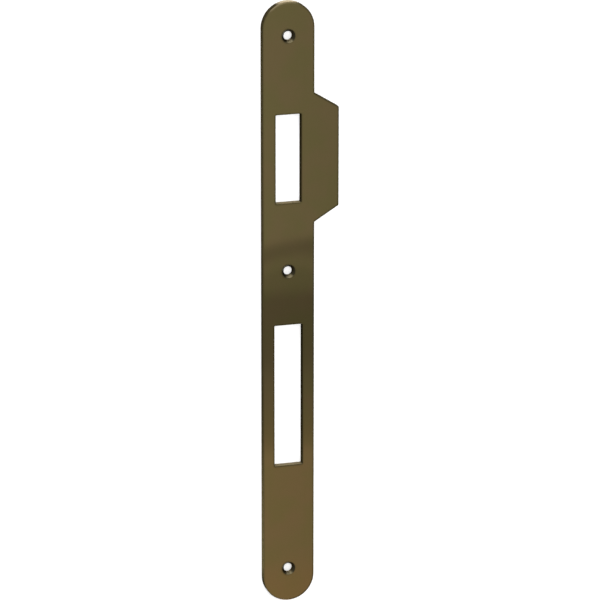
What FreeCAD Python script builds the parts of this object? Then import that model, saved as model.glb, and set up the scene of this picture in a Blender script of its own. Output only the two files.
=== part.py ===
import FreeCAD, Part
import math
import os

from FreeCAD import Vector

# Door strike plate: one flat blanked steel plate with full-round ends, a flat side lip,
# a slot for the latch, a slot for the bolt and three screw holes countersunk on both faces.
# Millimetres. The plate lies on its back face: Z = 0 is the back, +Z the front that shows,
# +Y runs along the plate towards the latch end and +X towards the lip.
# The origin is on the back face, at the middle of the plate's length and width.

# Plate
plate_length = 235.0
plate_width = 20.0
plate_thickness = 3.0
edge_radius = 0.3

# Lip beside the latch slot, which the latch bolt rides over as the door closes
lip_y = 57.5
lip_reach = 9.5
lip_tip_length = 38.0
lip_shoulder_length = 5.8
lip_corner_radius = 0.5

# Slot for the latch bolt
latch_slot_width = 9.9
latch_slot_length = 34.0
latch_slot_y = 57.75

# Slot for the dead bolt
bolt_slot_width = 11.0
bolt_slot_length = 55.8
bolt_slot_y = -34.7

slot_corner_radius = 0.3

# Screw holes: one near each end and one between the slots, the same on both faces, so that
# the plate can be turned over for a door of the other hand
screw_hole_diameter = 3.35
countersink_diameter = 5.2
countersink_angle = 82.0
end_screw_inset = 13.0
middle_screw_y = 14.25

# How far cutting tools run past the faces, and how near to a plane an edge counts as in it
cut_overrun = 1.0
plane_tolerance = 0.001


def upright_edges(solid):
    """Straight edges of a solid that run along Z."""
    return [
        edge
        for edge in solid.Edges
        if edge.BoundBox.XLength < plane_tolerance and edge.BoundBox.YLength < plane_tolerance
    ]


def plate_blank():
    """The strip with its round ends and its lip, before anything is punched."""
    side = plate_width / 2
    end = plate_length / 2
    end_centre = end - side
    lip_edge = side + lip_reach
    lip_half_tip = lip_tip_length / 2
    lip_half_root = lip_half_tip + lip_shoulder_length

    lip_side = [
        Vector(side, -end_centre, 0),
        Vector(side, lip_y - lip_half_root, 0),
        Vector(lip_edge, lip_y - lip_half_tip, 0),
        Vector(lip_edge, lip_y + lip_half_tip, 0),
        Vector(side, lip_y + lip_half_root, 0),
        Vector(side, end_centre, 0),
    ]
    plain_side = [Vector(-side, end_centre, 0), Vector(-side, -end_centre, 0)]

    curves = [Part.LineSegment(a, b) for a, b in zip(lip_side, lip_side[1:])]
    curves.append(Part.Arc(lip_side[-1], Vector(0, end, 0), plain_side[0]))
    curves.append(Part.LineSegment(*plain_side))
    curves.append(Part.Arc(plain_side[1], Vector(0, -end, 0), lip_side[0]))
    outline = Part.Wire([curve.toShape() for curve in curves])
    blank = Part.Face(outline).extrude(Vector(0, 0, plate_thickness))

    lip_corners = [
        edge
        for edge in upright_edges(blank)
        if abs(edge.CenterOfMass.y - lip_y) < lip_half_root + plane_tolerance
        and edge.CenterOfMass.x > 0
    ]
    return blank.makeFillet(lip_corner_radius, lip_corners)


def slot_punch(width, length, centre_y):
    """A rectangular punch with slightly rounded corners, through the whole plate."""
    punch = Part.makeBox(
        width,
        length,
        plate_thickness + 2 * cut_overrun,
        Vector(-width / 2, centre_y - length / 2, -cut_overrun),
    )
    return punch.makeFillet(slot_corner_radius, upright_edges(punch))


def screw_drill(centre_y):
    """What a screw hole takes away: the bore with a cone at each face, turned about its axis."""
    bore_radius = screw_hole_diameter / 2
    mouth_radius = countersink_diameter / 2
    slope = math.tan(math.radians(countersink_angle / 2))
    cone_depth = (mouth_radius - bore_radius) / slope
    end_radius = mouth_radius + cut_overrun * slope

    half_section = Part.makePolygon(
        [
            Vector(0, 0, -cut_overrun),
            Vector(end_radius, 0, -cut_overrun),
            Vector(bore_radius, 0, cone_depth),
            Vector(bore_radius, 0, plate_thickness - cone_depth),
            Vector(end_radius, 0, plate_thickness + cut_overrun),
            Vector(0, 0, plate_thickness + cut_overrun),
            Vector(0, 0, -cut_overrun),
        ]
    )
    drill = Part.Face(half_section).revolve(Vector(0, 0, 0), Vector(0, 0, 1), 360)
    drill.translate(Vector(0, centre_y, 0))
    return drill


def face_rims(solid):
    """Edges that bound the front and back faces."""
    return [
        edge
        for edge in solid.Edges
        if edge.BoundBox.ZMin > plate_thickness - plane_tolerance
        or edge.BoundBox.ZMax < plane_tolerance
    ]


def strike_plate():
    """The finished plate: blanked, punched, its edges eased on both faces, then drilled."""
    punches = [
        slot_punch(latch_slot_width, latch_slot_length, latch_slot_y),
        slot_punch(bolt_slot_width, bolt_slot_length, bolt_slot_y),
    ]
    punched = plate_blank().cut(punches)
    eased = punched.makeFillet(edge_radius, face_rims(punched))

    end_screw_y = plate_length / 2 - end_screw_inset
    drills = [screw_drill(y) for y in (end_screw_y, middle_screw_y, -end_screw_y)]
    return eased.cut(drills)


os.makedirs("parts", exist_ok=True)
strike_plate().exportStep("parts/strike_plate.step")
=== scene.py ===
import math

import bpy
from mathutils import Matrix, Vector


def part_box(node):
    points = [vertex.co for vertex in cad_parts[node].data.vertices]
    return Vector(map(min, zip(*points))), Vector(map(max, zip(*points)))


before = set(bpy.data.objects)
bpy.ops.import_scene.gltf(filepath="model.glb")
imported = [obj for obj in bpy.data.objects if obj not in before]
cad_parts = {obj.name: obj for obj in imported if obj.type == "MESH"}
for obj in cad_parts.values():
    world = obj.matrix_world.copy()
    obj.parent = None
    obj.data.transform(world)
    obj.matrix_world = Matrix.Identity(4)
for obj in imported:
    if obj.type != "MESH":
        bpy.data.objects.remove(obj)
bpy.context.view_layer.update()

# Door strike plate in dark bronze, lying on a white table. Metres, with the part's own axes:
# the plate lies flat, its front face up, its latch end towards +Y and its lip towards +X.

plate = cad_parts["strike_plate"]
plate_low, plate_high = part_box("strike_plate")
face_z = plate_high.z

# Camera: high over the latch end and to the left of the plate, a long way off with a long lens
camera_yaw = math.radians(16.609)
camera_pitch = math.radians(17.033)
camera_roll = math.radians(0.046)
camera_distance = 1.460
camera_target = Vector((0.005312, 0.001718, 0.0))
focal_length_px = 3877.95
image_width_px = 600
sensor_width_mm = 36.0

# Plating colours. Where there are two, the plating is clouded between them.
face_colours = (0.157, 0.118, 0.053, 1), (0.146, 0.120, 0.048, 1)
# Painted shade: the face's edges are coloured darker, most on the lip side
edge_shade_colours = (0.085, 0.066, 0.030, 1), (0.078, 0.067, 0.027, 1)
# Painted highlight on the rim round the latch end
highlighted_edge_colour = (0.290, 0.235, 0.130, 1)
# The countersinks' turned finish, coloured darker than the face as painted shade in the recess
cone_tone_and_shade = (0.090, 0.076, 0.044, 1)
# Painted shade: the cut walls are coloured dark, and darker in the slots
wall_hue = (1.0, 0.80, 0.37)
# Painted light: walls facing the latch end are coloured lighter, the plate's end more than the
# slots'
slot_end_lit_colour = (0.225, 0.184, 0.108, 1)
plate_end_lit_colour = (0.520, 0.430, 0.290, 1)

# How wide the edges with painted shade and painted highlight are, and how deep the relief in the
# faces and in the cut walls is
edge_width = 0.0011
face_relief = 0.00001
wall_relief = 0.00003

# Noise in the plating and in the cut walls, in repeats per metre
cloud_scale = 85.0
grain_scale = 1200.0
skin_scale = 2600.0
streak_scale = 2400.0
tear_scale = 500.0

# Where the painted highlight on the latch end's rim starts and is full
highlighted_y = (0.1125, 0.1150)
highlighted_x = (0.006, 0.0)

# Between which distances from the middle a wall passes from a slot's to the plate's own
outer_wall_x = (0.0065, 0.0090)
outer_wall_y = (0.085, 0.100)

# Below this height, or up to this much lower, the punch tore the walls rough
torn_z = (0.0013, 0.0015)
tear_depth = 0.0008

# The three screw holes, whose turned countersinks have a finish of their own
hole_centres = [(0, 0.1045, 0), (0, 0.01425, 0), (0, -0.1045, 0)]
countersink_radius = 0.0026
countersink_margin = 0.0002
ring_rate = 60000.0  # turning rings: radians per metre outwards

# How light the cut walls are coloured along Y: dark as painted shade, and lighter towards the bolt
# end
wall_shades = [
    (0.1075, 0.048),
    (0.1000, 0.066),
    (0.0300, 0.066),
    (0.0100, 0.049),
    (-0.0360, 0.047),
    (-0.0480, 0.060),
    (-0.0600, 0.085),
    (-0.0710, 0.125),
    (-0.0830, 0.155),
    (-0.1040, 0.160),
    (-0.1090, 0.050),
]

# Table
floor_size = 6
floor_colour = (0.90, 0.90, 0.90, 1)
floor_lift = 0.48

# The card that the front face mirrors to the camera, low over the plate. Its bands are named by
# the place on the plate where they are seen: metres along Y, and how bright.
card_height = 0.06
card_margin = 0.020
card_strength = 0.80
card_falloff = 2.8  # how much dimmer it is for each metre towards +X
card_bands = [
    (0.0274, 1.00),
    (0.0251, 0.74),
    (0.0231, 0.65),
    (0.0218, 0.67),
    (0.0190, 0.84),
    (0.0168, 0.84),
    (0.0145, 0.71),
    (0.0090, 0.71),
    (0.0035, 0.52),
    (-0.0200, 0.53),
    (-0.0290, 0.65),
    (-0.0500, 0.75),
    (-0.0545, 0.84),
    (-0.0580, 1.00),
]
neutral_tint = (1, 1, 1, 1)
warm_tint = (1.16, 1.03, 0.94, 1)
warmest_tint = (1.27, 1.05, 0.88, 1)

# Main lamp
key_place = (-0.15, 0.45, 1.42)
key_size = 0.3
key_power = 4.5


class Nodes:
    """A short way to write a node tree.

    add() makes a node, and fill() sets its sockets or links what it is given.
    """

    def __init__(self, tree):
        self.tree = tree
        tree.nodes.clear()

    def add(self, kind, inputs=None, **settings):
        node = self.tree.nodes.new(kind)
        for name, value in settings.items():
            setattr(node, name, value)
        return self.fill(node, inputs or {})

    def fill(self, node, inputs):
        for socket, value in inputs.items():
            if isinstance(value, bpy.types.NodeSocket):
                self.tree.links.new(value, node.inputs[socket])
            else:
                node.inputs[socket].default_value = value
        return node

    def math(self, operation, *values):
        inputs = dict(enumerate(values))
        return self.add("ShaderNodeMath", inputs, operation=operation).outputs[0]

    def vector(self, operation, a, b):
        node = self.add("ShaderNodeVectorMath", {0: a, 1: b}, operation=operation)
        return node.outputs["Value" if operation == "DISTANCE" else "Vector"]

    def split(self, vector):
        return self.add("ShaderNodeSeparateXYZ", {0: vector}).outputs

    def mix(self, factor, a, b, kind="RGBA", blend="MIX"):
        sockets = {"FLOAT": (2, 3, 0), "VECTOR": (4, 5, 1), "RGBA": (6, 7, 2)}
        low, high, mixed = sockets[kind]
        node = self.add("ShaderNodeMix", {0: factor}, data_type=kind, blend_type=blend)
        return self.fill(node, {low: a, high: b}).outputs[mixed]

    def ramp(self, value, low, high, to_low, to_high):
        """value taken smoothly from low..high to to_low..to_high, and held there outside it."""
        return self.add(
            "ShaderNodeMapRange",
            {0: value, 1: low, 2: high, 3: to_low, 4: to_high},
            interpolation_type="SMOOTHSTEP",
        ).outputs[0]

    def between(self, value, stops):
        """The level at a value between stops, pairs of value and level that run into each other."""
        start, end = stops[0][0], stops[-1][0]
        share = self.math("DIVIDE", self.math("SUBTRACT", value, start), end - start)
        node = self.add("ShaderNodeValToRGB", {0: share})
        while len(node.color_ramp.elements) < len(stops):
            node.color_ramp.elements.new(0.5)
        for element, (at, level) in zip(node.color_ramp.elements, stops):
            element.position = (at - start) / (end - start)
            element.color = (level, level, level, 1)
        return node.outputs[0]

    def noise(self, at, scale, stretch=(1, 1, 1), detail=2.0):
        placed = self.vector("MULTIPLY", at, stretch)
        inputs = {"Vector": placed, "Scale": scale, "Detail": detail, "Roughness": 0.5}
        return self.add("ShaderNodeTexNoise", inputs).outputs["Fac"]

    def bump(self, height, strength, distance, below=None):
        inputs = {"Height": height, "Strength": strength, "Distance": distance}
        if below:
            inputs["Normal"] = below
        return self.add("ShaderNodeBump", inputs).outputs[0]


def new_material(name):
    material = bpy.data.materials.new(name)
    material.use_nodes = True
    return material, Nodes(material.node_tree)


def make_camera():
    back = Vector(
        (
            -math.sin(camera_yaw) * math.cos(camera_pitch),
            math.sin(camera_pitch),
            math.cos(camera_yaw) * math.cos(camera_pitch),
        )
    )
    right = Vector((0, 1, 0)).cross(back).normalized()
    up = back.cross(right)
    turned_right = right * math.cos(camera_roll) + up * math.sin(camera_roll)
    turned_up = up * math.cos(camera_roll) - right * math.sin(camera_roll)
    axes = Matrix((turned_right, turned_up, back)).transposed().to_4x4()

    data = bpy.data.cameras.new("camera")
    data.sensor_width = sensor_width_mm
    data.lens = focal_length_px / image_width_px * sensor_width_mm
    camera = bpy.data.objects.new("camera", data)
    bpy.context.scene.collection.objects.link(camera)
    camera.matrix_world = Matrix.Translation(camera_target + back * camera_distance) @ axes
    bpy.context.scene.camera = camera


def face_finish(nodes, at, where, skin):
    """Semi-polished, with faint cloudiness, a grain along Y and a very fine skin.

    The edges are coloured darker as painted shade, most on the lip side, and light as a painted
    highlight round the latch end's rim on the plain side.
    """
    cloud = nodes.noise(at, cloud_scale, detail=3.0)
    grain = nodes.noise(at, grain_scale, stretch=(1, 0.04, 1))
    cloudy = nodes.ramp(cloud, 0.35, 0.65, 0.0, 1.0)
    plating = nodes.mix(cloudy, *face_colours)
    # Painted shade for the edges
    edge_shade = nodes.mix(cloudy, *edge_shade_colours)

    bevel = nodes.add("ShaderNodeBevel", {"Radius": edge_width}, samples=8)
    rounded = nodes.split(bevel.outputs[0])
    near_edge = nodes.ramp(nodes.math("ABSOLUTE", rounded["Z"]), 0.9995, 0.985, 0.0, 1.0)
    # Painted shade: edges that lean towards the lip are coloured the darkest
    lip_side_shade = nodes.ramp(rounded["X"], -0.03, 0.03, 0.3, 1.0)
    # Painted highlight round the latch end's rim, on the plain side
    at_latch_end = nodes.ramp(where["Y"], *highlighted_y, 0.0, 1.0)
    on_plain_side = nodes.ramp(where["X"], *highlighted_x, 0.0, 1.0)
    highlighted = nodes.math("MULTIPLY", at_latch_end, on_plain_side)
    painted_edge_share = nodes.math("MULTIPLY", near_edge, nodes.math("MAXIMUM", lip_side_shade, highlighted))
    edge_colour = nodes.mix(highlighted, edge_shade, highlighted_edge_colour)

    cloud_roughness = nodes.ramp(cloud, 0.3, 0.7, 0.085, 0.105)
    grain_roughness = nodes.ramp(grain, 0.3, 0.7, 0.0, 0.02)
    return {
        "Base Color": nodes.mix(painted_edge_share, plating, edge_colour),
        "Metallic": 1.0,
        "Roughness": nodes.math("ADD", cloud_roughness, grain_roughness),
        "Normal": nodes.bump(grain, 0.10, face_relief, nodes.bump(skin, 0.12, face_relief)),
    }


def distance_to_hole(nodes, at):
    """How far a point is from the axis of the nearest screw hole."""
    flat_at = nodes.vector("MULTIPLY", at, (1, 1, 0))
    first, *others = [nodes.vector("DISTANCE", flat_at, centre) for centre in hole_centres]
    nearest = first
    for distance in others:
        nearest = nodes.math("MINIMUM", nearest, distance)
    return nearest


def cone_finish(nodes, radius, skin):
    """Countersinks: fine rings left by the turning tool, in a colour darker than the face as
    painted shade in the recess.
    """
    rings = nodes.math("SINE", nodes.math("MULTIPLY", radius, ring_rate))
    return {
        "Base Color": cone_tone_and_shade,
        "Metallic": 1.0,
        "Roughness": nodes.ramp(skin, 0.3, 0.7, 0.20, 0.28),
        "Normal": nodes.bump(rings, 0.15, face_relief),
    }


def wall_finish(nodes, at, where, facing, level, skin):
    """Cut walls: dull, coloured dark as painted shade and darker still in the slots, streaked by
    the punch and torn rough below; walls facing the latch end carry painted light.
    """
    beside_slots = nodes.ramp(nodes.math("ABSOLUTE", where["X"]), *outer_wall_x, 0.0, 1.0)
    beyond_slots = nodes.ramp(nodes.math("ABSOLUTE", where["Y"]), *outer_wall_y, 0.0, 1.0)
    outer = nodes.math("MAXIMUM", beside_slots, beyond_slots)
    streaks = nodes.noise(at, streak_scale, stretch=(1, 1, 0.05))
    # Painted shade: the slots' walls are coloured darker than the plate's outer walls
    shaded = nodes.ramp(outer, 0.0, 1.0, 0.45, 1.0)
    wall_shade = nodes.math("MULTIPLY", nodes.between(where["Y"], wall_shades), shaded)
    wall_shade = nodes.math("MULTIPLY", wall_shade, nodes.ramp(streaks, 0.3, 0.7, 0.8, 1.2))
    side_wall_shade = nodes.add(
        "ShaderNodeVectorMath", {0: wall_hue, "Scale": wall_shade}, operation="SCALE"
    ).outputs[0]

    # Painted light: walls that face the latch end are coloured lighter, the plate's own end more
    # than the slots' ends
    end_light_tone = nodes.mix(outer, slot_end_lit_colour, plate_end_lit_colour)
    faces_end = nodes.ramp(facing["Y"], 0.87, 0.985, 0.0, 1.0)
    upright = nodes.ramp(level, 0.75, 0.45, 0.0, 1.0)
    lit_end_wall = nodes.math("MULTIPLY", faces_end, upright)

    ragged = nodes.math("MULTIPLY", nodes.noise(at, tear_scale), tear_depth)
    torn_line = nodes.math("ADD", where["Z"], ragged)
    torn = nodes.ramp(torn_line, *torn_z, 1.0, 0.0)
    height = nodes.math("ADD", streaks, nodes.math("MULTIPLY", skin, torn))
    return {
        "Base Color": nodes.mix(lit_end_wall, side_wall_shade, end_light_tone),
        "Metallic": 0.0,
        "Roughness": nodes.math("ADD", nodes.math("MULTIPLY", torn, 0.15), 0.50),
        "Normal": nodes.bump(height, 0.30, wall_relief),
    }


def bronze_material():
    """Dark bronze plating: one shader, with the finish of the face, the countersink or the wall."""
    material, nodes = new_material("bronzed_steel")
    place = nodes.add("ShaderNodeTexCoord").outputs
    at = place["Object"]
    where = nodes.split(at)
    facing = nodes.split(place["Normal"])
    level = nodes.math("ABSOLUTE", facing["Z"])
    skin = nodes.noise(at, skin_scale)
    radius = distance_to_hole(nodes, at)

    face = face_finish(nodes, at, where, skin)
    cone = cone_finish(nodes, radius, skin)
    wall = wall_finish(nodes, at, where, facing, level, skin)

    on_wall = nodes.ramp(level, 0.85, 0.55, 0.0, 1.0)
    steeper_than_face = nodes.ramp(level, 0.90, 0.80, 0.0, 1.0)
    flatter_than_wall = nodes.ramp(level, 0.45, 0.55, 0.0, 1.0)
    near_hole = nodes.math("LESS_THAN", radius, countersink_radius + countersink_margin)
    sloping = nodes.math("MULTIPLY", flatter_than_wall, steeper_than_face)
    on_cone = nodes.math("MULTIPLY", sloping, near_hole)

    kinds = {"Base Color": "RGBA", "Metallic": "FLOAT", "Roughness": "FLOAT", "Normal": "VECTOR"}
    chosen = {}
    for socket, kind in kinds.items():
        face_or_wall = nodes.mix(on_wall, face[socket], wall[socket], kind)
        chosen[socket] = nodes.mix(on_cone, face_or_wall, cone[socket], kind)
    shader = nodes.add("ShaderNodeBsdfPrincipled", {**chosen, "Specular IOR Level": 0.0})
    nodes.add("ShaderNodeOutputMaterial", {"Surface": shader.outputs[0]})
    return material


def floor_material():
    """White table, with a little lift where it is seen or mirrored, so that it shows as white."""
    material, nodes = new_material("white_table")
    diffuse = nodes.add("ShaderNodeBsdfDiffuse", {"Color": floor_colour})
    path = nodes.add("ShaderNodeLightPath")
    seen = nodes.math("ADD", path.outputs["Is Camera Ray"], path.outputs["Is Glossy Ray"])
    seen = nodes.math("ADD", seen, path.outputs["Is Transmission Ray"])
    strength = nodes.math("MULTIPLY", seen, floor_lift)
    lift = nodes.add("ShaderNodeEmission", {"Color": (1, 1, 1, 1), "Strength": strength})
    both = nodes.add("ShaderNodeAddShader", {0: diffuse.outputs[0], 1: lift.outputs[0]})
    nodes.add("ShaderNodeOutputMaterial", {"Surface": both.outputs[0]})
    return material


def make_floor():
    bpy.ops.mesh.primitive_plane_add(size=floor_size, location=(0, 0, 0))
    floor = bpy.context.object
    floor.name = "floor"
    floor.data.materials.append(floor_material())


def card_scale():
    """How far apart two points of the card are that are seen 1 m apart on the plate, less 1."""
    camera = bpy.context.scene.camera.location
    return (card_height - face_z) / (camera.z - face_z)


def on_card(plate_x, plate_y):
    """The point of the card that the camera sees mirrored at a point of the plate."""
    camera = bpy.context.scene.camera.location
    k = card_scale()
    return (plate_x * (1 + k) - k * camera.x, plate_y * (1 + k) - k * camera.y)


def card_material():
    """Grey bands along Y, the first askew and arched, and warmer light towards the bolt end."""
    material, nodes = new_material("studio_card")
    camera = bpy.context.scene.camera.location
    k = card_scale()
    place = nodes.add("ShaderNodeTexCoord").outputs["Object"]
    shifted = nodes.vector("ADD", place, (k * camera.x, k * camera.y, 0))
    on_plate = nodes.vector("MULTIPLY", shifted, (1 / (1 + k), 1 / (1 + k), 1))
    across, along, _ = nodes.split(on_plate)

    skew = nodes.math("MULTIPLY", across, nodes.ramp(along, 0.014, 0.024, 0.0, 0.12))
    arch_starts = nodes.ramp(along, 0.004, 0.014, 0.0, 22.0)
    arch_ends = nodes.ramp(along, 0.018, 0.024, 1.0, 0.2)
    arch = nodes.math("MULTIPLY", arch_starts, arch_ends)
    rise = nodes.math("MULTIPLY", arch, nodes.math("MULTIPLY", across, across))
    band_place = nodes.math("SUBTRACT", nodes.math("ADD", along, rise), skew)
    bands = nodes.between(band_place, card_bands)

    warmth = nodes.ramp(along, -0.020, -0.058, 0.0, 1.0)
    end_warmth = nodes.ramp(along, -0.095, -0.113, 0.0, 1.0)
    tint = nodes.mix(end_warmth, nodes.mix(warmth, neutral_tint, warm_tint), warmest_tint)
    colour = nodes.mix(1.0, bands, tint, blend="MULTIPLY")
    dimmed = nodes.math("MULTIPLY", across, card_falloff)
    strength = nodes.math("SUBTRACT", card_strength, dimmed)
    light = nodes.add("ShaderNodeEmission", {"Color": colour, "Strength": strength})
    nodes.add("ShaderNodeOutputMaterial", {"Surface": light.outputs[0]})
    return material


def make_card():
    low_x, low_y = on_card(plate_low.x - card_margin, plate_low.y - card_margin)
    high_x, high_y = on_card(plate_high.x + card_margin, plate_high.y + card_margin)
    corners = [(low_x, low_y, 0), (high_x, low_y, 0), (high_x, high_y, 0), (low_x, high_y, 0)]
    mesh = bpy.data.meshes.new("studio_card")
    mesh.from_pydata(corners, [], [(0, 1, 2, 3)])
    mesh.materials.append(card_material())
    card = bpy.data.objects.new("studio_card", mesh)
    bpy.context.scene.collection.objects.link(card)
    card.location = (0, 0, card_height)
    card.visible_camera = False
    card.visible_diffuse = False
    card.visible_shadow = False
    card.visible_transmission = False


def make_world():
    """Soft light overhead, dimmer all round, strong past the latch end, weak on the plain side."""
    world = bpy.data.worlds.new("studio")
    bpy.context.scene.world = world
    world.use_nodes = True
    nodes = Nodes(world.node_tree)
    towards = nodes.split(nodes.add("ShaderNodeTexCoord").outputs["Generated"])
    overhead = nodes.ramp(towards["Z"], 0.72, 0.90, 0.60, 0.80)
    beyond_latch_end = nodes.ramp(towards["Y"], 0.60, 0.95, 1.0, 5.0)
    on_plain_side = nodes.ramp(towards["X"], -0.50, -0.95, 1.0, 0.60)
    level = nodes.math("MULTIPLY", overhead, beyond_latch_end)
    level = nodes.math("MULTIPLY", level, on_plain_side)
    background = nodes.add("ShaderNodeBackground", {"Color": (1, 1, 1, 1), "Strength": level})
    nodes.add("ShaderNodeOutputWorld", {"Surface": background.outputs[0]})


def make_key():
    """The main lamp hangs beside the camera, so the shadow falls behind the plate."""
    data = bpy.data.lights.new("key", "AREA")
    data.shape = "DISK"
    data.size = key_size
    data.energy = key_power
    key = bpy.data.objects.new("key", data)
    bpy.context.scene.collection.objects.link(key)
    key.location = key_place
    key.rotation_mode = "QUATERNION"
    key.rotation_quaternion = key.location.to_track_quat("Z", "Y")
    key.visible_glossy = False


make_camera()
make_floor()
make_card()
make_world()
make_key()

plate.data.materials.clear()
plate.data.materials.append(bronze_material())

bpy.context.scene.view_settings.view_transform = "Standard"
